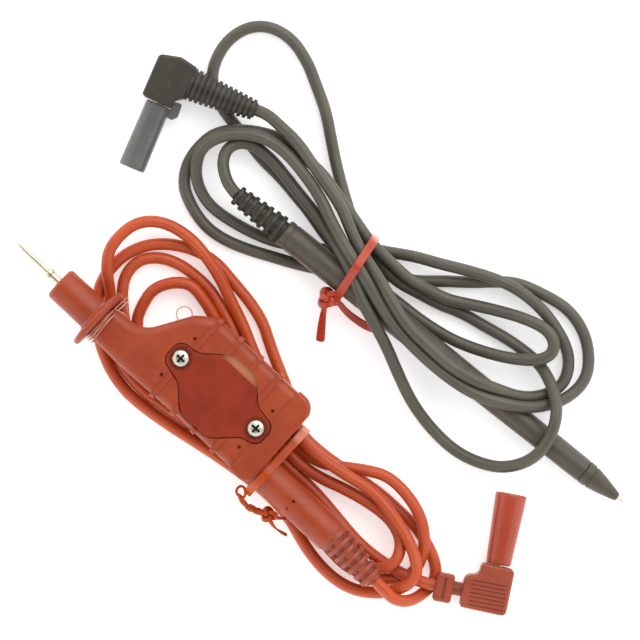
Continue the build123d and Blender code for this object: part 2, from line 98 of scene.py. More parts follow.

# %% [markdown]
# ## The cords
# Each cord is over a metre of limp 4 mm wire in a soft jacket.  It could be simulated, but a
# simulation would never fold it the way that the hands which tied it did.  So its route is given
# loop by loop, as the control points of one smooth spline.  The red cord leaves the
# probe's strain relief, runs by turns through four loops at the tail end and four at the nose
# end, and ends in the plug's relief block.

# %% Red cord, loop by loop, in drawing millimetres
RED_ROUTE = [
    # from the probe's relief, round the low outer loop
    (162, -1, 11.5), (167, -1, 11), (171, -1, 9.5), (175, 2, 7.5), (177, 7, 5.5), (177, 12, 4),
    (174, 16, 2.5), (168, 19, 2), (160, 21, 2), (152, 21, 2), (145, 21, 2), (137, 20, 2),
    (129, 18.5, 2), (121, 17, 2), (112, 17, 2), (104, 19, 2), (98, 24, 2), (92, 28, 2),
    # the widest loop at the nose, and down the near side
    (84, 32, 2), (77, 36, 2), (69, 38, 2), (60, 39, 2), (52, 40, 2), (44, 38, 2), (37, 34, 2),
    (32, 29, 2), (29, 23, 2), (28, 17, 2), (29, 10, 2), (32, 5, 2), (36, 0, 2), (40, -4, 2),
    (45, -7, 2), (52, -10, 2), (60, -11.5, 2), (69, -11, 2), (79, -9.5, 2), (89, -7.5, 2),
    (99, -6, 2), (110, -4.5, 2), (120, -4, 2),
    # out from under the tail, round beside the relief and back
    (129, -5.5, 2), (137, -8.5, 2), (145, -10, 2), (153, -10, 2), (160, -8, 2), (167, -3, 2),
    (171, 4, 3.5), (171, 10, 6.5), (166, 14, 6.5), (159, 17, 6.5), (150, 19, 6.5), (141, 20, 6.5),
    (132, 18, 6.5), (123, 16.5, 6.5), (115, 15.5, 6), (108, 17, 4), (101, 19, 2), (94, 21, 2),
    (87, 24, 2), (80, 27, 2),
    # the highest loop at the nose, and back under the body
    (72, 31, 2), (64, 34, 2), (57, 37, 3), (49, 39, 5), (42, 40, 6), (34, 39, 6), (28, 36, 6),
    (24, 31, 6), (23, 24, 6), (24, 18, 6), (28, 13, 4.5), (33, 9, 2), (38, 5, 2), (43, 0, 2),
    (47, -4, 2), (54, -7, 2), (63, -8, 2), (72, -7, 2), (82, -5.5, 2), (92, -3.5, 2),
    (103, -1.5, 2), (114, -0.5, 2), (124, -0.5, 2), (134, -2, 2), (145, -4, 2),
    # the outer loop at the tail
    (154, -4, 2), (162, 0, 2), (168, 4, 2), (170, 10, 2.5), (168, 16, 4.5), (164, 21, 6.5),
    (158, 25, 6.5), (150, 27, 6.5), (142, 27, 6.5), (136, 24, 6), (129, 19, 4), (123, 15, 2),
    (115, 13, 2), (107, 14, 2), (99, 15.5, 2), (92, 18, 2), (85, 21, 2), (78, 24, 2),
    # the third loop at the nose, and back under the body
    (71, 27, 2), (64, 29, 2), (57, 31, 2), (50, 32, 2), (43, 31, 2), (37, 28, 2), (33, 23, 2),
    (33, 17, 2), (35, 12, 2), (39, 8, 2), (45, 4, 2), (51, 0, 2), (58, -3, 2), (68, -3.5, 2),
    (77, -2, 2), (88, 0, 2), (98, 2, 2), (109, 3.5, 2), (121, 3.5, 2), (132, 2, 2), (142, 0, 2),
    # the inner loop at the tail
    (152, -1, 2), (158, 0, 4), (162, 4, 6), (163, 9, 6.5), (160, 14, 6.5), (155, 16.5, 6.5),
    (149, 17, 6.5),
    (142, 16, 6.5), (134, 14, 6.5), (127, 11.5, 5), (119, 10, 2), (110, 10.5, 2), (102, 11, 2),
    (94, 13, 2), (86, 16, 2), (79, 19, 2),
    # the smallest loop at the nose
    (72, 23, 4), (65, 27, 6), (58, 29, 6), (51, 29, 6), (46, 25, 5), (43, 19, 2), (44, 13, 2),
    (46, 7, 2), (52, 3, 2), (60, 1, 2), (69, 1, 2), (79, 2, 2), (89, 4.5, 2), (100, 6.5, 2),
    (110, 7, 2), (120, 7, 2), (131, 6, 2), (142, 5, 2),
    # on to the plug
    (151, 4, 2), (161, 5, 2), (169, 7, 2), (176, 10, 5), (179.5, 12.4, 5.5),
]
print("the red route has", len(RED_ROUTE), "points")

# %% [markdown]
# The black cord leaves the slim probe at the left and folds back over itself.  It runs through
# four long loops to the right of the tie, with three to the left between them, and ends in the
# plug.

# %% Black cord, loop by loop, in drawing millimetres
BLACK_ROUTE = [
    # from the strain relief, straight back over the left end
    (42.5, 60.8, 11.7), (39, 61, 11), (34.5, 63, 9), (31, 66, 7.5), (29.5, 70, 7), (31, 74, 6.5),
    (35, 76.5, 6.5), (39, 77, 6.5), (44, 77, 6.5), (51, 76, 6.5), (57, 75, 7), (65, 74, 8),
    (73, 72, 9), (81, 69, 11), (89, 67, 14.5), (96, 64, 17),
    # down and round the low loop at the right, which passes over the probe
    (103, 61, 17), (112, 58, 14), (121, 54, 7), (131, 50, 2), (142, 48, 2), (153, 48, 2),
    (162, 51, 2), (168, 55, 3), (172, 61, 7), (173, 67, 13), (172, 73, 15.5), (169, 79, 13),
    (165, 83, 9), (160, 86, 6), (154, 88, 3), (148, 88, 2), (140, 87, 2), (132, 85, 2),
    (123, 83, 2), (116, 80, 2), (108, 78, 3), (101, 76, 5), (93, 76, 6), (84, 78, 6), (75, 81, 6),
    (68, 85, 4), (60, 90, 2),
    # the long high loop behind the plug
    (53, 95, 2), (45, 101, 2), (37, 105, 2), (29, 109, 2), (20, 111, 2), (12, 109, 2), (7, 104, 2),
    (5, 97, 2), (6, 90, 2), (9, 84, 2), (14, 80, 2), (21, 78, 2), (28, 77, 2), (34, 76, 2),
    (41, 75, 2), (48, 75, 2), (56, 74, 2), (64, 73, 2), (72, 71, 2), (82, 70, 2), (90, 70, 2),
    (99, 70, 2), (106, 71, 2),
    # the tight fold at the right: lower leg out, upper leg back
    (116, 72, 2.5), (126, 74, 5), (134, 77, 6.5), (142, 81, 6.5), (148, 85, 6.5), (152.5, 89, 7.5),
    (154, 93.5, 9), (151.5, 97, 10), (146.5, 98, 9), (139, 95.5, 6), (132, 92, 2.5), (125, 88, 2),
    (117, 83, 2), (110, 81, 3.5), (103, 79, 6.5), (95, 79, 9), (86, 79, 10.5), (77, 81, 10.5),
    (68, 83, 10), (59, 85, 9),
    # outer loop at the left
    (50, 85, 6.5), (42, 85, 6.5), (35, 82, 6.5), (28, 77, 6.5), (23, 71, 6), (22, 64, 4.5),
    (23, 57, 2.5), (27, 51, 2), (33, 48, 2), (41, 46, 2), (49, 47, 2), (57, 50, 2), (65, 54, 2),
    (73, 58, 2), (80, 63, 2), (87, 68, 2), (93, 73, 2), (100, 77, 2),
    # outer loop at the right
    (106, 81, 2), (112, 87, 2), (118, 92, 2), (124, 98, 2), (130, 103, 2), (139, 106, 2),
    (148, 108, 2), (157, 106, 2), (164, 101, 2), (168, 95, 2), (168, 88, 2.5), (165, 81, 3.5),
    (160, 75, 8), (154, 71, 12), (146, 67, 13.5), (138, 65, 14), (128, 64, 14.5), (118, 64, 15),
    (109, 65, 15), (100, 67, 14.5), (91, 69, 14.5), (81, 72, 14), (72, 75, 14), (63, 79, 13),
    (54, 81, 12),
    # inner loop at the left
    (45, 82, 11), (37, 81, 10.5), (30, 77, 10.5), (25, 71, 9), (23, 64, 6.5), (26, 58, 3),
    (31, 54, 2), (38, 52, 2), (46, 53, 2), (54, 55, 2), (62, 58, 2), (69, 62, 2), (76, 67, 2),
    (81, 72, 2), (87, 78, 2.5), (93, 82, 3),
    # inner loop at the right
    (99, 86, 5), (107, 90, 6.5), (114, 94, 6.5), (122, 98, 6.5), (130, 101, 6.5), (139, 102, 4),
    (148, 101, 2.5), (157, 98, 2), (162, 93, 2), (164, 87, 2.5), (161, 80, 4), (156, 75, 8.5),
    (149, 72, 14), (141, 69, 15.5), (132, 67, 16), (123, 67, 16.5), (113, 67, 16.5), (104, 69, 16),
    (96, 72, 16), (88, 74, 15), (79, 77, 14.5), (71, 81, 14), (62, 83, 13.5), (53, 85, 13),
    # on to the plug
    (45, 87, 12.5), (37, 87, 12), (31, 87, 9.5), (27.2, 85.2, 8.1),
]
print("the black route has", len(BLACK_ROUTE), "points")

# %% [markdown]
# ## Letting the turns settle
# The listed points leave the cord running through itself wherever two turns meet.  On the
# bench each turn lies beside or on the next.  The settling below repeats one small correction:
# where two stretches of the spline come closer than a cord's thickness they push each other
# apart, sideways if they lie side by side and up and down where they cross, and the hard pieces
# push the cord out of themselves.  A weak pull towards the first place keeps every loop where it
# was put.  To know which control points to move, the spline's own weights are worked out first.

# %% The weights of a smooth spline of order 3 whose ends are held
CORD_R = 2.0
CLOSEST = 2 * CORD_R + 0.06
SAMPLES = 6                    # places looked at on each span of the spline
ORDER = 3


def spline_weights(count):
    """One row for each place on the spline: how much each control point counts there."""
    rows = []
    for span in range(count - 2):
        for step in range(SAMPLES):
            t = step / SAMPLES
            before = (1 - t)**2 / (1 if span == 0 else 2)
            after = t**2 / (1 if span == count - 3 else 2)
            row = np.zeros(count)
            row[span:span + 3] = before, 1 - before - after, after
            rows.append(row)
    return np.array(rows)


print("a spline of 10 points is looked at in", len(spline_weights(10)), "places")

# %% What the cords may not enter
YIELDING = ("hank", "cord_", "tie", "tag_loop", "board", "resistor", "lug", "clamp", "socket",
            "screws", "spring")


def hard_surface():
    """One search tree over the outside of every hard CAD node, in drawing millimetres."""
    corners, faces = [], []
    start = bench(0, 0, 0)
    for name, node in frame["nodes"].items():
        if any(word in name for word in YIELDING):
            continue
        first = len(corners)
        corners += [(vert.co - start) / MM for vert in node.data.vertices]
        faces += [[first + i for i in face.vertices] for face in node.data.polygons]
    print("the hard pieces have", len(faces), "faces")
    return BVHTree.FromPolygons(corners, faces)


surface = hard_surface()

# %% The push between turns, all in millimetres
SAME_STRETCH = 14              # nearer than this along the cord, two places can't be two turns
CROSSING = 0.75 * CLOSEST      # nearer than this seen from above, two turns cross


def push_between_turns(line):
    """How far each place on the cord should move away from the other turns."""
    steps = np.linalg.norm(np.diff(line, axis=0), axis=1)
    along = np.concatenate([[0.0], np.cumsum(steps)])
    square = (line**2).sum(1)
    apart = square[:, None] + square - 2 * line @ line.T
    one, two = np.nonzero(np.triu(apart < CLOSEST**2, 1))
    turns = np.abs(along[one] - along[two]) > SAME_STRETCH
    one, two = one[turns], two[turns]
    gap = line[one] - line[two]
    length = np.maximum(np.linalg.norm(gap, axis=1), 1e-6)
    way = gap / length[:, None]
    crossing = np.linalg.norm(gap[:, :2], axis=1) < CROSSING
    way[crossing] = 0
    way[crossing, 2] = np.where(gap[crossing, 2] < 0, -1, 1)
    lack = way * (CLOSEST - length)[:, None] / 2
    push = np.zeros_like(line)
    meetings = np.zeros(len(line))
    for places, sign in ((one, 1), (two, -1)):
        np.add.at(push, places, sign * lack)
        np.add.at(meetings, places, 1)
    return push / np.maximum(meetings, 1)[:, None], length.min() if len(length) else CLOSEST


# %% The push out of the hard pieces
STIFF_START = 5 * SAMPLES      # the first and last places stay in the strain reliefs
STIFF_END = 4 * SAMPLES
HARD_CLEAR = CORD_R + 0.08     # how far the cord's middle stays from a hard face
HARD_SEARCH = 2 * CORD_R       # further off than this, a face doesn't matter
HARD_SHARE = 0.7               # the share of the lack that one push makes good


def push_from_hard_pieces(line):
    """How far each place on the cord should move out of the hard pieces."""
    push = np.zeros_like(line)
    for i in range(STIFF_START, len(line) - STIFF_END):
        place, normal, _, distance = surface.find_nearest(Vector(line[i]), HARD_SEARCH)
        if place is None:
            continue
        outside = distance if (Vector(line[i]) - place).dot(normal) >= 0 else -distance
        if outside < HARD_CLEAR:
            push[i] = normal * (HARD_CLEAR - outside) * HARD_SHARE
    return push


# %% The settling loop
ROUNDS = 260
LONGEST_MOVE = 0.6             # of a control point in one round
LEAST_SHARE = 0.35             # so that a point that counts for little isn't thrown far
BACK_ASIDE = 0.06              # the pull back to the placed point, sideways
BACK_UP = 0.01                 # and in height
EVEN_OUT = 0.04                # the pull to the mean height of the points beside it
LOWEST_MIDDLE = CORD_R + 0.1   # the cord lies on the bench, not in it


def settle(route):
    """The route's control points once the turns lie beside and on each other."""
    wanted = np.array(route, float)
    points = wanted.copy()
    weights = spline_weights(len(points))
    for _ in range(ROUNDS):
        line = weights @ points
        push, closest = push_between_turns(line)
        push += push_from_hard_pieces(line)
        moved = (np.abs(push).sum(1) > 0).astype(float)
        move = (weights.T @ push) / np.maximum(weights.T @ moved, LEAST_SHARE)[:, None]
        points += np.clip(move, -LONGEST_MOVE, LONGEST_MOVE)
        points[:, :2] += BACK_ASIDE * (wanted - points)[:, :2]
        points[:, 2] += BACK_UP * (wanted - points)[:, 2]
        points[1:-1, 2] += EVEN_OUT * ((points[:-2, 2] + points[2:, 2]) / 2 - points[1:-1, 2])
        points[:, 2] = np.maximum(points[:, 2], LOWEST_MIDDLE)
        points[[0, -1]] = wanted[[0, -1]]
    line = weights @ points
    steps = np.diff(line, axis=0)
    size = np.linalg.norm(steps, axis=1)
    turn = np.arccos(np.clip((steps[1:] * steps[:-1]).sum(1) / (size[1:] * size[:-1]), -1, 1))
    bend = (size[1:] + size[:-1]) / 2 / np.maximum(turn, 1e-4)
    print("settled: closest turns", round(closest, 2), "mm apart, length", round(size.sum()), "mm")
    print("tightest bend", round(bend.min(), 1), "mm at", line[bend.argmin() + 1].round(1))
    return points, line


red_points, red_line = settle(RED_ROUTE)
black_points, black_line = settle(BLACK_ROUTE)

# %% [markdown]
# ## From route to cord
# A NURBS curve with a round bevel is the simplest true cord: one centreline, one thickness, and
# it stays smooth at any distance.  Its order and its held ends are set after the points are in,
# because Blender resets them while the spline has too few points.  The points carry the radius
# and the bevel is 1, because Blender adds the points' radius to a curve's bounding box.

# %% A smooth curve by its control points


def smooth_curve(name, places, closed=False):
    """A NURBS curve whose control points lie at places on the drawing."""
    curve = bpy.data.curves.new(name, "CURVE")
    curve.dimensions = "3D"
    spline = curve.splines.new("NURBS")
    spline.points.add(len(places) - 1)
    for point, place in zip(spline.points, places):
        point.co = (*bench(*place), 1)
        point.radius = CORD_R * MM
    spline.order_u = ORDER
    spline.use_endpoint_u = not closed
    spline.use_cyclic_u = closed
    return curve


# %% Make a cord
ROUND_STEPS = 5                # of the bevel; fewer would show as flats along the cord


def cord(name, points):
    """A round cord that follows one open curve."""
    curve = smooth_curve(name, points)
    curve.resolution_u = SAMPLES
    curve.bevel_depth = 1.0
    curve.bevel_resolution = ROUND_STEPS
    curve.use_fill_caps = True
    piece = bpy.data.objects.new(name, curve)
    SCENE.objects.link(piece)
    return piece


# %% The two cords, each ending in its plug
RED_LENGTH = 1.29
BLACK_LENGTH = 1.37
red_cord = cord("red_cord", red_points)
black_cord = cord("black_cord", black_points)
for piece, colour, points, length in (
        (red_cord, "red", red_points, RED_LENGTH),
        (black_cord, "black", black_points, BLACK_LENGTH)):
    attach(piece, f"{colour}_lead")
    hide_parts(f"{colour}_hank", f"{colour}_cord_probe_end", f"{colour}_cord_plug_end")
    print(piece.name, "declared", length, "m long")

# %% [markdown]
# ## Ties
# Three things hold the loops: a flat red plastic strip round the black lead, a glossy orange strip
# round the red probe's tail, and a few turns of thin clear filament behind the finger guard.  A
# strip pulled tight takes the shortest way round what it holds, which is the convex outline of
# everything inside.  So each tie first asks where the cord crosses its plane.  A curve with a
# flat bevel could make the strips too, but it is hard to say which way its flat side faces, so a
# section is pulled from place to place instead.

# %% Where things cross a tie's plane


def crossings(line, centre, turn, reach):
    """(sideways, up) of each place where the cord goes through the tie's plane."""
    flat = line[:, :2] - np.array(centre)
    ahead = flat @ np.array((math.cos(turn), math.sin(turn)))
    aside = flat @ np.array((-math.sin(turn), math.cos(turn)))
    found = []
    for i in np.nonzero(ahead[:-1] * ahead[1:] < 0)[0]:
        share = ahead[i] / (ahead[i] - ahead[i + 1])
        side = aside[i] + share * (aside[i + 1] - aside[i])
        if abs(side) < reach:
            found.append((side, line[i, 2] + share * (line[i + 1, 2] - line[i, 2]), CORD_R))
    return found


# %% The shortest way round a set of circles
CIRCLE_STEPS = 32


def one_side(dots):
    """Half of a convex outline: every dot that would dent it is dropped."""
    kept = []
    for dot in dots:
        while len(kept) > 1:
            (ax, ay), (bx, by) = kept[-2:]
            if (bx - ax) * (dot[1] - ay) - (by - ay) * (dot[0] - ax) > 0:
                break
            kept.pop()
        kept.append(dot)
    return kept[:-1]


def taut_outline(circles, gap, lowest):
    """The outline of a band pulled tight round the circles, lying on the bench underneath."""
    dots = []
    for side, up, radius in circles:
        for step in range(CIRCLE_STEPS):
            angle = step * math.tau / CIRCLE_STEPS
            dots.append((side + (radius + gap) * math.cos(angle),
                         max(up + (radius + gap) * math.sin(angle), lowest)))
    dots.sort()
    outline = one_side(dots) + one_side(dots[::-1])
    return outline + outline[:1]


# %% The section of a flat strip
# round a strip's section, in half widths and half thicknesses; the close pairs keep its edges
# square when the surface is rounded
SECTION = ((-1, -1), (-0.8, -1), (0.8, -1), (1, -1), (1, 1), (0.8, 1), (-0.8, 1), (-1, 1))
SAME_PLACE = 1e-6              # corners closer than this, in metres, are one corner
print("a strip's section has", len(SECTION), "corners")

# %% From a bmesh to a finished piece


def finished(name, shape, smooth=1):
    """Turn a bmesh into an object with outward faces, smooth shading and rounded edges."""
    bmesh.ops.recalc_face_normals(shape, faces=shape.faces)
    mesh = bpy.data.meshes.new(name)
    shape.to_mesh(mesh)
    shape.free()
    mesh.polygons.foreach_set("use_smooth", [True] * len(mesh.polygons))
    piece = bpy.data.objects.new(name, mesh)
    SCENE.objects.link(piece)
    if smooth:
        rounding = piece.modifiers.new("rounded edges", "SUBSURF")
        rounding.levels = smooth
        rounding.render_levels = smooth
    print(name, "made of", len(mesh.polygons), "faces")
    return piece


# %% Pull a strip along its way


def loop_edges(shape, ring):
    """The edges between neighbours on a ring of corners."""
    pairs = zip(ring, ring[1:] + ring[:1])
    return [shape.edges.get(pair) or shape.edges.new(pair) for pair in pairs]


def strip(shape, path, across, width, thick, turns=0.0, end_width=None):
    """Pull a flat section, sized in millimetres, along the path from end to end."""
    path = [Vector(point) for point in path]
    growth = 0 if end_width is None else (end_width - width) / (len(path) - 1)
    closed = (path[0] - path[-1]).length < SAME_PLACE
    ring = None
    for i, point in enumerate(path):
        behind = path[i - 1] if i else (path[-2] if closed else point)
        ahead = path[i + 1] if i + 1 < len(path) else (path[1] if closed else point)
        tangent = (ahead - behind).normalized()
        side = (Vector(across) - tangent * tangent.dot(Vector(across))).normalized()
        side = Matrix.Rotation(turns * math.tau * i / (len(path) - 1), 3, tangent) @ side
        half = side * (width + growth * i) * MM / 2
        up = tangent.cross(side) * thick * MM / 2
        corners = [point + half * a + up * b for a, b in SECTION]
        if ring is None:
            ring = [shape.verts.new(corner) for corner in corners]
            edges = loop_edges(shape, ring)
            first_ring, first_edges = ring, edges
            continue
        made = bmesh.ops.extrude_edge_only(shape, edges=edges)["geom"]
        fresh = [part for part in made if isinstance(part, bmesh.types.BMVert)]
        ring = [min(fresh, key=lambda vert: (vert.co - old.co).length) for old in ring]
        for vert, corner in zip(ring, corners):
            vert.co = corner
        edges = loop_edges(shape, ring)
    if closed:
        bmesh.ops.remove_doubles(shape, verts=ring + first_ring, dist=SAME_PLACE)
        return
    for end in (first_edges, edges):
        bmesh.ops.contextual_create(shape, geom=end)


# %% A smooth way through a few points
WAY_STEPS = 5                  # places on each span of a way


def smooth_way(places, closed=False):
    """Points along the smooth curve that a few given drawing points ask for."""
    curve = smooth_curve("way", places, closed)
    curve.resolution_u = WAY_STEPS
    guide = bpy.data.objects.new("way", curve)
    mesh = bpy.data.meshes.new_from_object(guide)
    way = [vert.co.copy() for vert in mesh.vertices]
    bpy.data.objects.remove(guide)
    bpy.data.meshes.remove(mesh)
    return way + way[:1] if closed else way


# %% [markdown]
# ### The strip round the black lead
# It is a soft flat strip 3 mm wide, pulled round the barrel and all the strands and knotted twice
# at the near side, with one short tail hanging down and one that slips back under the cord.  A
# lump could pass for a knot from afar, but not close by.  So each is a real overhand knot: a
# trefoil line, pulled small, with the strip run along it.

# %% A band pulled tight
BAND_LOWEST = 0.45             # under the cords, a band lies this far above the bench


def band(shape, circles, centre, turn, width, thick, gap=0.35):
    """A closed strip pulled tight round the circles."""
    ahead = Vector((math.cos(turn), math.sin(turn), 0))
    aside = Vector((-ahead.y, ahead.x, 0))
    middle = bench(*centre, 0)
    path = [middle + aside * side * MM + Vector((0, 0, up * MM))
            for side, up in taut_outline(circles, gap, BAND_LOWEST)]
    strip(shape, path, ahead, width, thick)
    length = sum((one - two).length for one, two in zip(path, path[1:]))
    print("a band of", round(length / MM), "mm round", len(circles), "things")


# %% An overhand knot
KNOT_STEPS = 48
KNOT_ACROSS = (0.3, 0.2, 1)    # the strip lies nearly on edge in the knot


def knot(shape, centre, size, width, thick, lean=0.0):
    """An overhand knot: the strip follows a small trefoil."""
    path = []
    for step in range(KNOT_STEPS + 1):
        angle = math.tau * step / KNOT_STEPS
        place = Vector((math.sin(angle) + 2 * math.sin(2 * angle),
                        math.cos(angle) - 2 * math.cos(2 * angle),
                        -1.3 * math.sin(3 * angle)))
        place.rotate(Matrix.Rotation(lean, 3, "Z"))
        path.append(bench(*centre) + place * size * MM / 6)
    strip(shape, path, KNOT_ACROSS, width, thick)


# %% The black lead's tie
TIE_CENTRE = (87.1, 71.6)
TIE_TURN = math.radians(10)
TIE_REACH = 22                 # a tie holds no cord further from its centre than this
STRIP_WIDE = 2.9
STRIP_THICK = 0.5
BARREL = (-7.3, 9.4, 4.8)      # the probe's barrel in the tie's plane: sideways, up, radius
GATHER = (-13.2, 9.4, 0.7)     # where the strip's ends are gathered into the knot
HANGING_TAIL = [(87.9, 54.9, 9), (88.8, 53, 8.5), (90.4, 50.6, 6), (92.4, 47.9, 3.5),
                (95.4, 44, 1.4)]
SLIPPED_TAIL = [(88.4, 56.6, 9.5), (90.5, 57.9, 9), (94.4, 57.1, 7), (99.8, 57.5, 5.5),
                (105, 58.8, 4.8), (108, 61, 4.6)]
held = crossings(black_line, TIE_CENTRE, TIE_TURN, TIE_REACH)
print("the black tie holds", len(held), "strands")
shape = bmesh.new()
band(shape, held + [BARREL, GATHER], TIE_CENTRE, TIE_TURN, STRIP_WIDE, STRIP_THICK, gap=0.8)
knot(shape, (87.5, 56.4, 9.0), 5.8, 2.3, 2.0)
knot(shape, (87.6, 56.8, 10.8), 4.4, 2.0, 1.7, lean=0.7)
strip(shape, smooth_way(HANGING_TAIL), (0.8, 0.6, 0.1), 1.5, 0.6, turns=0.02, end_width=3.1)
strip(shape, smooth_way(SLIPPED_TAIL), (-0.1, 0.9, 0.1), 1.7, 0.7, turns=0.04, end_width=3.2)
black_strip = finished("black_lead_strip", shape)
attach(black_strip, "black_lead")
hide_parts("black_tie")

# %% [markdown]
# ### The strip round the red tail
# The same kind of strip, in glossy orange, holds the tail and the loops beside it.  Its ends go
# through a small ring, are twisted round each other and knotted, and two loose ends stick out
# over the bench.  The twist is two strips on ways of their own that change sides, each turning
# one and a half times, which reads better close by than one strip with grooves.

# %% The red lead's rear tie
TAIL_CENTRE = (111.7, 0.0)
TAIL = (0.0, 11.5, 5.85)       # the probe's tail and the gather, like the black lead's
TAIL_GATHER = (-7.9, 9.0, 0.6)
RING = [(111.8, -9.4, 8.8), (109.8, -7.8, 9), (108.2, -8.6, 9), (108.4, -10.8, 8.8),
        (110.4, -11.4, 8.6), (111.8, -10.8, 8.6)]
TWISTED_PAIR = [
    [(109.8, -10.8, 8.6), (112.2, -11.6, 9), (115.2, -12.2, 8.2), (118.4, -11.2, 8.8),
     (121.2, -9.2, 8)],
    [(110.6, -11.2, 8), (113, -12.2, 7.6), (115.8, -11.2, 8.4), (118.4, -10.4, 7.4),
     (121.4, -9.2, 8)],
]
LONG_END = [(122.4, -9.8, 8), (124.6, -10.8, 8), (127.6, -10.9, 7), (131, -10, 6)]
SHORT_END = [(122.6, -8.6, 8), (124.6, -8, 7.6), (126.4, -6.9, 7), (127.4, -5.4, 6)]
held = crossings(red_line, TAIL_CENTRE, 0.0, TIE_REACH)
print("the rear tie holds", len(held), "strands")
shape = bmesh.new()
band(shape, held + [TAIL, TAIL_GATHER], TAIL_CENTRE, 0.0, STRIP_WIDE, STRIP_THICK)
strip(shape, smooth_way(RING, closed=True), (0, 0, 1), 1.2, 0.9)
for places in TWISTED_PAIR:
    strip(shape, smooth_way(places), (0, 0.3, 1), 1.8, 1.1, turns=1.5)
knot(shape, (121.8, -9.0, 8.0), 4.4, 1.6, 1.4)
strip(shape, smooth_way(LONG_END), (0, 1, 0.4), 1.5, 0.7, turns=0.3, end_width=1.2)
strip(shape, smooth_way(SHORT_END), (0, 1, 0.5), 1.2, 0.7, turns=0.2, end_width=2.4)
rear_strip = finished("red_lead_rear_strip", shape)
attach(rear_strip, "red_lead")
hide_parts("red_rear_tie")

# %% [markdown]
# ### The filament behind the guard
# Four turns of thin pale filament go round the nose of the body and the strands under it, close
# behind the guard, and two more cross from there to the dip of the body in a V.  A filament is
# round, so it is a thin square strip with one step of rounding.

# %% The red lead's front tie
NOSE = (0.0, 11.2, 6.8)        # the body's nose: sideways, up, radius
NOSE_REACH = 13
FILAMENT = 0.42
FILAMENT_TURNS = ((38.6, -1), (39.1, 2), (39.7, -2), (40.2, 3))     # place, and degrees aslant
FILAMENT_V = ([(38.6, 6, 16.6), (40.4, 6.7, 16), (42.2, 7, 15), (44, 7.2, 13.5)],
              [(38.8, 10, 13.6), (40.4, 9.6, 13.6), (42.2, 8.6, 13.6), (44, 7.2, 13)])
shape = bmesh.new()
for place, slant in FILAMENT_TURNS:
    centre, turn = (place, 0.0), math.radians(slant)
    held = crossings(red_line, centre, turn, NOSE_REACH)
    band(shape, held + [NOSE], centre, turn, FILAMENT, FILAMENT, gap=0.45)
for places in FILAMENT_V:
    strip(shape, smooth_way(places), (0, 0, 1), FILAMENT, FILAMENT)
front_filament = finished("red_lead_front_filament", shape)
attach(front_filament, "red_lead")
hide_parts("red_front_tie")

# %% [markdown]
# ## Finishes
# Every hard piece arrives with a plain CAD colour.  Real moulded plastic isn't one colour: it
# darkens where fingers hold it, its gloss changes from patch to patch, and it has a fine skin
# from the mould.  Effects like these that several finishes share are node groups, built once,
# with the values that differ as inputs.

# %% Colours as a painter names them


def srgb(red, green, blue):
    """A swatch in 0-255 screen values as the linear colour that shaders use."""
    def linear(value):
        value /= 255
        return value / 12.92 if value <= 0.04045 else ((value + 0.055) / 1.055)**2.4
    return (linear(red), linear(green), linear(blue), 1.0)


print("mid grey is", round(srgb(128, 128, 128)[0], 3), "in linear light")

# %% Small helpers that add one shader node each


def add(tree, kind, sockets=None, **settings):
    """A shader node with its settings, and each named socket given a value or a link."""
    node = tree.nodes.new("ShaderNode" + kind)
    for setting, value in settings.items():
        setattr(node, setting, value)
    for name, value in (sockets or {}).items():
        if isinstance(value, bpy.types.NodeSocket):
            tree.links.new(value, node.inputs[name])
        else:
            node.inputs[name].default_value = value
    return node


def mixed(tree, share, first, second):
    """The colour that lies share of the way from first to second."""
    node = add(tree, "Mix", {0: share, 6: first, 7: second}, data_type="RGBA")
    return node.outputs[2]


def times(tree, one, other):
    """The product of two values."""
    return add(tree, "Math", {0: one, 1: other}, operation="MULTIPLY").outputs[0]


def larger(tree, one, other):
    """The larger of two values."""
    return add(tree, "Math", {0: one, 1: other}, operation="MAXIMUM").outputs[0]


def spread(tree, value, low, high, to_low=0.0, to_high=1.0):
    """The value stretched from low..high to the new limits, and held there."""
    node = add(tree, "MapRange", {0: value, 1: low, 2: high, 3: to_low, 4: to_high})
    return node.outputs[0]


def noise(tree, place, scale, detail=3.0, roughness=0.55):
    """Cloudy noise of a given scale at a place."""
    sockets = {"Vector": place, "Scale": scale, "Detail": detail, "Roughness": roughness}
    return add(tree, "TexNoise", sockets).outputs[0]


# %% An empty node group


def new_group(name, takes, gives):
    """An empty node group with its inputs and outputs."""
    tree = bpy.data.node_groups.new(name, "ShaderNodeTree")
    for label, value in takes.items():
        kind = "NodeSocketColor" if isinstance(value, tuple) else "NodeSocketFloat"
        if isinstance(value, Vector):
            kind = "NodeSocketVector"
        socket = tree.interface.new_socket(label, in_out="INPUT", socket_type=kind)
        socket.default_value = value
    for label in gives:
        kind = "NodeSocketColor" if "colour" in label else "NodeSocketFloat"
        tree.interface.new_socket(label, in_out="OUTPUT", socket_type=kind)
    place = add(tree, "TexCoord").outputs["Object"]
    return tree, tree.nodes.new("NodeGroupInput").outputs, tree.nodes.new("NodeGroupOutput"), place


# %% [markdown]
# ### The skin from the mould
# Moulded plastic is slightly cloudy, and its gloss changes where the mould was polished or worn.
# A picture wrapped round it would stretch on the small turned parts, so the clouds, the streaks
# and the fine grain are noises that fill space and are read where the surface cuts them.

# %% Moulded skin: cloudy colour, changing gloss, a fine grain


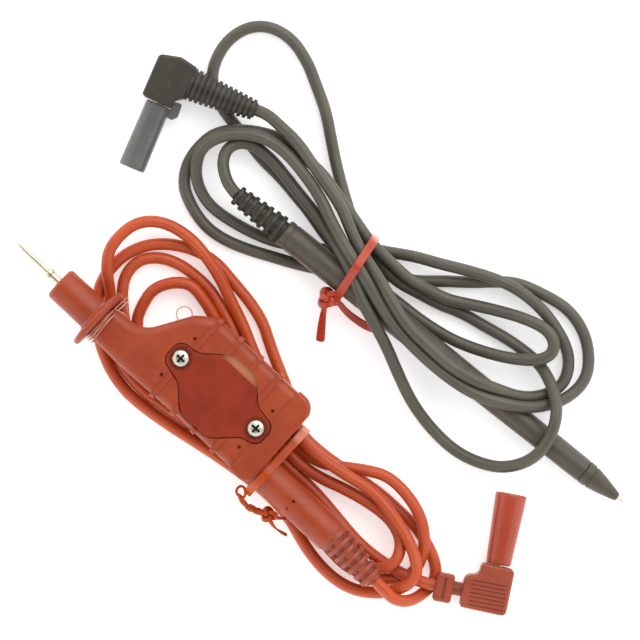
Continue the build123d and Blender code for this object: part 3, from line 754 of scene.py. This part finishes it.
def moulded_skin():
    """The group that gives a moulded surface its colour, roughness and grain height."""
    tree, take, give, place = new_group("moulded_skin", {
        "light colour": srgb(200, 80, 50), "deep colour": srgb(150, 50, 30), "patches": 90.0,
        "grain": 5000.0, "gloss side": 0.3, "dull side": 0.5},
        ("colour", "roughness", "height"))
    cloud = noise(tree, place, take["patches"], 4.0)
    colour = mixed(tree, spread(tree, cloud, 0.35, 0.65), take["light colour"],
                   take["deep colour"])
    streak = noise(tree, place, 700.0, 2.0)
    tree.links.new(mixed(tree, spread(tree, streak, 0.5, 0.9, 0, 0.25), colour,
                         take["deep colour"]), give.inputs["colour"])
    sheen = noise(tree, place, 260.0, 3.0)
    dull = add(tree, "MapRange", {0: sheen, 1: 0.35, 2: 0.65, 3: take["gloss side"],
                                  4: take["dull side"]})
    tree.links.new(dull.outputs[0], give.inputs["roughness"])
    tree.links.new(noise(tree, place, take["grain"], 2.0), give.inputs["height"])
    return tree


# %% [markdown]
# ### What handling leaves
# Leads are dropped, dragged and pocketed.  That leaves fine scratches, mostly along one way, and
# specks of dust in patches.  Both could be modelled, but they have no depth to speak of, so they
# are only a paler colour and, on the scratches, a duller gloss.

# %% Handling: faint scratches that catch the light, and settled dust


def handling():
    """The group that lays scratches and dust over a colour and a roughness."""
    tree, take, give, place = new_group("handling", {
        "colour": srgb(128, 128, 128), "roughness": 0.4, "amount": 0.5,
        "dust colour": srgb(226, 214, 204)},
        ("colour", "roughness"))
    drawn = add(tree, "Mapping", {"Vector": place, "Rotation": (0.3, 0.2, 0.7),
                                  "Scale": (240.0, 5200.0, 1500.0)}).outputs[0]
    scratch = spread(tree, noise(tree, drawn, 1.0, 1.0), 0.68, 0.74)
    where = spread(tree, noise(tree, place, 120.0, 2.0), 0.45, 0.6)
    scratch = times(tree, times(tree, scratch, where), take["amount"])
    cells = add(tree, "TexVoronoi", {"Vector": place, "Scale": 700.0, "Randomness": 1.0})
    speck = spread(tree, cells.outputs["Distance"], 0.10, 0.06)
    rare = spread(tree, noise(tree, place, 300.0, 1.0), 0.52, 0.56)
    speck = times(tree, times(tree, speck, rare), take["amount"])
    marked = mixed(tree, times(tree, scratch, 0.35), take["colour"], take["dust colour"])
    tree.links.new(mixed(tree, speck, marked, take["dust colour"]), give.inputs["colour"])
    rough = add(tree, "Math", {0: scratch, 1: 0.25, 2: take["roughness"]},
                operation="MULTIPLY_ADD")
    tree.links.new(rough.outputs[0], give.inputs["roughness"])
    return tree


# %% [markdown]
# ### Turned and plated metal
# The lathe leaves rings round a needle, and fingers leave a warm tarnish in clouds.  The rings are
# far too fine to cut into the mesh, so a wave pattern along the probes' length only bumps the
# surface.

# %% Turned metal: tool rings round the length, and a warm tarnish


def turned_metal():
    """The group that gives a turned metal its colour, roughness and ring height."""
    tree, take, give, place = new_group("turned_metal", {
        "bright colour": srgb(215, 208, 190), "tarnish colour": srgb(150, 130, 100),
        "rings": 900.0, "tarnish": 0.5}, ("colour", "roughness", "height"))
    rings = add(tree, "TexWave", {"Vector": place, "Scale": take["rings"], "Distortion": 0.4,
                                  "Detail": 2.0}, bands_direction="X").outputs[1]
    cloud = spread(tree, noise(tree, place, 420.0, 4.0), 0.4, 0.75)
    cloud = times(tree, cloud, take["tarnish"])
    tree.links.new(mixed(tree, cloud, take["bright colour"], take["tarnish colour"]),
                   give.inputs["colour"])
    dull = spread(tree, noise(tree, place, 1500.0, 2.0), 0.3, 0.7, 0.16, 0.38)
    tree.links.new(dull, give.inputs["roughness"])
    tree.links.new(rings, give.inputs["height"])
    return tree


# %% [markdown]
# ### A colour for one place
# Painted highlights make the strips pale where they fold round, and the ledge beside the cover
# pale; painted shade darkens the screws' crosses.  Each could be painted into a picture, but a
# soft-edged box in space marks the place just as well, stays sharp at any size and needs no
# unwrapping.

# %% A mask for one place: a painted highlight where a strip folds or on a ledge, painted shade in the screws' crosses


def within_box():
    """The group that is 1 inside a box and fades to 0 over its soft edge."""
    tree, take, give, place = new_group("within_box", {
        "middle": Vector((0, 0, 0)), "half size": Vector((1, 1, 1)), "softness": 0.001},
        ("mask",))
    away = add(tree, "VectorMath", {0: place, 1: take["middle"]}, operation="SUBTRACT")
    away = add(tree, "VectorMath", {0: away.outputs[0]}, operation="ABSOLUTE")
    away = add(tree, "VectorMath", {0: away.outputs[0], 1: take["half size"]},
               operation="SUBTRACT")
    side = add(tree, "SeparateXYZ", {0: away.outputs[0]}).outputs
    most = larger(tree, larger(tree, side[0], side[1]), side[2])
    mask = add(tree, "MapRange", {0: most, 1: 0.0, 2: take["softness"], 3: 1.0, 4: 0.0})
    tree.links.new(mask.outputs[0], give.inputs["mask"])
    return tree


# %% Build the shared groups once
SKIN = moulded_skin()
HANDLING = handling()
METAL = turned_metal()
PLACE = within_box()
print("groups", [tree.name for tree in (SKIN, HANDLING, METAL, PLACE)])

# %% Put a group in a material


def placed(tree, group, **values):
    """The outputs of a node group, with its inputs given."""
    node = tree.nodes.new("ShaderNodeGroup")
    node.node_tree = group
    for label, value in values.items():
        socket = node.inputs[label.replace("_", " ")]
        if isinstance(value, bpy.types.NodeSocket):
            tree.links.new(value, socket)
        else:
            socket.default_value = value
    return node.outputs


def tinted_place(tree, colour, tint, low, high, soft):
    """The colour, with a tint between two corners given in drawing millimetres."""
    low, high = bench(*low), bench(*high)
    mask = placed(tree, PLACE, middle=(low + high) / 2, half_size=(high - low) / 2,
                  softness=soft * MM)["mask"]
    return mixed(tree, mask, colour, tint)


# %% The parts that every recipe shares
FINISHES = {}


def blank_material(name):
    """A material with only its shader and output, ready to be wired."""
    material = bpy.data.materials.new(name)
    material.use_nodes = True
    return material, material.node_tree, material.node_tree.nodes["Principled BSDF"]


def wire_up(tree, shader, colour, roughness, height, bump, depth):
    """Join colour, roughness and a bumped surface to the shader."""
    tree.links.new(colour, shader.inputs["Base Color"])
    tree.links.new(roughness, shader.inputs["Roughness"])
    bumped = add(tree, "Bump", {"Height": height, "Strength": bump, "Distance": depth * MM})
    tree.links.new(bumped.outputs[0], shader.inputs["Normal"])


# %% [markdown]
# ### Plastics
# One recipe makes every plastic here, hard or soft: skin, then handling, then the shader.  What
# differs is kept on the shader's own sockets: soft jackets let light in a little way, the resistor
# has a thin glossy coat, and the see-through caps pass some light right through.

# %% The plastic recipe
PLASTIC_GRAIN = 0.02           # depth of the grain, in millimetres
GLOW_REACH = (1.0, 0.25, 0.12)     # how much further red light goes in than green and blue
GLOW_DEPTH = 1.2               # in millimetres


def plastic(name, light, deep, gloss=(0.3, 0.5), patches=90.0, grain=5000.0, bump=0.25,
            wear=0.25, coat=0.0, soft_light=0.0, clear=0.0, specular=0.5, tints=()):
    """A moulded plastic: cloudy colour, changing gloss, grain, scratches and dust."""
    material, tree, shader = blank_material(name)
    skin = placed(tree, SKIN, light_colour=light, deep_colour=deep, patches=patches, grain=grain,
                  gloss_side=gloss[0], dull_side=gloss[1])
    worn = placed(tree, HANDLING, colour=skin["colour"], roughness=skin["roughness"], amount=wear)
    colour = worn["colour"]
    for tint in tints:
        colour = tinted_place(tree, colour, *tint)
    wire_up(tree, shader, colour, worn["roughness"], skin["height"], bump, PLASTIC_GRAIN)
    shader.inputs["Specular IOR Level"].default_value = specular
    shader.inputs["Coat Weight"].default_value = coat
    shader.inputs["Coat Roughness"].default_value = 0.12
    if soft_light:
        shader.inputs["Subsurface Weight"].default_value = soft_light
        shader.inputs["Subsurface Radius"].default_value = GLOW_REACH
        shader.inputs["Subsurface Scale"].default_value = GLOW_DEPTH * MM
    if clear:
        shader.inputs["Transmission Weight"].default_value = clear
        shader.inputs["IOR"].default_value = 1.5
    FINISHES[name] = material


# %% [markdown]
# ### Metals
# The needles are nickel plated and turned, so fine tool rings run round them.  The contacts are
# brass under a thin plate, and the cover screws are bright steel with painted shade in the cross.

# %% The metal recipe
RING_DEPTH = 0.01              # in millimetres


def metal(name, bright, tarnished, rings=900.0, tarnish=0.5, bump=0.15, tints=()):
    """A turned or plated metal with rings, tarnish and changing gloss."""
    material, tree, shader = blank_material(name)
    turned = placed(tree, METAL, bright_colour=bright, tarnish_colour=tarnished, rings=rings,
                    tarnish=tarnish)
    colour = turned["colour"]
    for tint in tints:
        colour = tinted_place(tree, colour, *tint)
    wire_up(tree, shader, colour, turned["roughness"], turned["height"], bump, RING_DEPTH)
    shader.inputs["Metallic"].default_value = 1.0
    FINISHES[name] = material


# %% Places painted with light or shade, in drawing millimetres
# painted highlight: the ledge beside the cover is painted paler, as if it caught the light
LEDGE_HIGHLIGHT = (srgb(196, 122, 86), (75, 18, 18.9), (91.5, 22.3, 19.9), 0.5)
# painted highlight: the flat strips are painted pale where they fold round the strands
BLACK_FOLD_HIGHLIGHT = (srgb(222, 176, 164), (80, 82, 0), (90, 88, 24), 2.0)
RED_FOLD_HIGHLIGHT = (srgb(216, 138, 108), (110, 15.5, 0), (116, 24, 24), 1.6)
# painted shade: the bottom of the crosses and under the rim of the heads are painted dark
CROSS_SHADE = (srgb(52, 50, 34), (60, 0, 10), (105, 20, 21.35), 0.35)

# %% Red plastics, by the names of their slots
# the shell carries the painted highlight on the ledge beside the cover
plastic("red_shell", srgb(163, 66, 30), srgb(148, 55, 24), gloss=(0.30, 0.44), patches=70.0,
        grain=3800.0, bump=0.3, soft_light=0.12, specular=0.4, tints=[LEDGE_HIGHLIGHT])
plastic("dark_red_cover", srgb(142, 44, 14), srgb(128, 36, 10), gloss=(0.36, 0.5),
        patches=110.0, grain=4200.0, wear=0.2, specular=0.3)
plastic("red_soft_pvc", srgb(158, 70, 42), srgb(146, 58, 32), gloss=(0.38, 0.52),
        patches=120.0, grain=3000.0, soft_light=0.2)
plastic("red_clear_pvc", srgb(196, 82, 54), srgb(184, 70, 44), gloss=(0.16, 0.28),
        patches=60.0, grain=2500.0, bump=0.12, wear=0.1, soft_light=0.25, clear=0.35)
plastic("red_cord_jacket", srgb(197, 84, 34), srgb(184, 71, 27), gloss=(0.32, 0.46),
        patches=55.0, grain=2600.0, bump=0.2, soft_light=0.35)
print(len(FINISHES), "red plastics")

# %% Black and grey plastics
plastic("black_shell", srgb(82, 76, 63), srgb(70, 64, 52), gloss=(0.34, 0.48), grain=4200.0)
plastic("black_soft_pvc", srgb(55, 51, 40), srgb(44, 41, 31), gloss=(0.42, 0.56),
        patches=130.0, grain=2800.0, bump=0.35)
plastic("grey_clear_pvc", srgb(108, 108, 104), srgb(92, 92, 90), gloss=(0.18, 0.3),
        patches=70.0, grain=2600.0, bump=0.12, wear=0.1, clear=0.2)
plastic("black_cord_jacket", srgb(88, 84, 72), srgb(76, 72, 61), gloss=(0.34, 0.48),
        patches=60.0, grain=2600.0, bump=0.2)
print(len(FINISHES), "finishes so far")

# %% The ties and the filaments
# both strips carry a painted highlight where they fold round
plastic("tie_wire", srgb(186, 66, 34), srgb(166, 50, 24), gloss=(0.22, 0.38), patches=160.0,
        grain=2200.0, bump=0.35, soft_light=0.3, tints=[BLACK_FOLD_HIGHLIGHT])
plastic("orange_strip", srgb(190, 78, 14), srgb(170, 60, 10), gloss=(0.14, 0.28),
        patches=220.0, grain=2200.0, bump=0.3, specular=0.3, tints=[RED_FOLD_HIGHLIGHT])
plastic("clear_filament", srgb(236, 214, 200), srgb(220, 180, 160), gloss=(0.1, 0.2),
        grain=6000.0, wear=0.0, clear=0.8)
plastic("front_filament", srgb(236, 160, 136), srgb(222, 120, 92), gloss=(0.12, 0.25),
        grain=3000.0, wear=0.0, clear=0.35)
print(len(FINISHES), "finishes so far")

# %% Inside the body
plastic("board_green", srgb(36, 110, 66), srgb(24, 84, 50), patches=300.0)
plastic("resistor_body", srgb(206, 190, 150), srgb(184, 164, 120), patches=500.0, coat=0.4)
plastic("white_insulator", srgb(226, 226, 220), srgb(206, 204, 194), soft_light=0.2)
metal("tinned_lead", srgb(214, 214, 214), srgb(160, 160, 156))
print(len(FINISHES), "finishes so far")

# %% Screws, needles and contacts
# the screws carry painted shade in their crosses
metal("screw_steel", srgb(226, 224, 206), srgb(140, 132, 104), rings=300.0, tarnish=0.35,
      tints=[CROSS_SHADE])
metal("needle_nickel", srgb(222, 212, 190), srgb(156, 138, 110))
metal("contact_brass", srgb(226, 206, 150), srgb(160, 120, 70), rings=500.0, tarnish=0.4)
print(len(FINISHES), "finishes")

# %% Give each piece its finish


def coat_piece(piece, finish):
    """Swap every material of the piece for the finish."""
    if not piece.data.materials:
        piece.data.materials.append(FINISHES[finish])
    for i in range(len(piece.data.materials)):
        piece.data.materials[i] = FINISHES[finish]


for part in frame["record"]["subparts"]:
    coat_piece(frame["nodes"][part["node"]], part["material_slot"])
coat_piece(red_cord, "red_cord_jacket")
coat_piece(black_cord, "black_cord_jacket")
coat_piece(black_strip, "tie_wire")
coat_piece(rear_strip, "orange_strip")
coat_piece(front_filament, "front_filament")
print(len(frame["nodes"]) + 5, "pieces have their finish")

# %% [markdown]
# ## The bench and the light
# The leads lie on a bright pale table in a light tent, so shadows are faint.  The tent's walls
# are bright and its top, where the camera looks in, is dim: that is why every cord shows a pale
# rim and a deeper colour along its middle.  One broad sun adds a long soft highlight.

# %% The pale bench
FLOOR_HALF = 3.0
BELOW_ALL = 0.1                # the bench lies this many millimetres under the lowest piece
PALE = 0.93
GLOW = 0.45                    # keeps the bench white where the tent's dim top is over it
shape = bmesh.new()
bmesh.ops.create_grid(shape, x_segments=2, y_segments=2, size=FLOOR_HALF)
bmesh.ops.translate(shape, verts=shape.verts, vec=(0, 0, -BELOW_ALL * MM))
floor = finished("pale_bench", shape, smooth=0)
pale, tree, shader = blank_material("pale_bench")
shader.inputs["Base Color"].default_value = (PALE, PALE, PALE, 1)
shader.inputs["Roughness"].default_value = 0.7
shader.inputs["Emission Color"].default_value = (1, 1, 1, 1)
shader.inputs["Emission Strength"].default_value = GLOW
floor.data.materials.append(pale)

# %% The broad sun
SUN_LEAN = math.radians(35)
SUN_FROM = math.radians(190)
SUN_STRENGTH = 1.1
SUN_WIDTH = math.radians(50)
sun = bpy.data.lights.new("broad_sun", "SUN")
sun.energy = SUN_STRENGTH
sun.angle = SUN_WIDTH
lamp = bpy.data.objects.new("broad_sun", sun)
lamp.rotation_euler = (SUN_LEAN, 0, SUN_FROM)
SCENE.objects.link(lamp)
print("lit by", lamp.name)

# %% The light tent
WALL_STRENGTH = 1.5
TOP_STRENGTH = 0.35
WALL_ENDS = 0.55               # height of direction, from 0 at the horizon to 1 overhead
TOP_STARTS = 0.9
tent = bpy.data.worlds.new("white_room")
tent.use_nodes = True
tree = tent.node_tree
towards = add(tree, "TexCoord").outputs["Generated"]
height = add(tree, "SeparateXYZ", {0: towards}).outputs[2]
sky = tree.nodes["Background"]
sky.inputs["Color"].default_value = (1, 1, 1, 1)
tree.links.new(spread(tree, height, WALL_ENDS, TOP_STARTS, WALL_STRENGTH, TOP_STRENGTH),
               sky.inputs["Strength"])
bpy.context.scene.world = tent
bpy.context.scene.view_settings.view_transform = "Standard"
print("and by", tent.name)
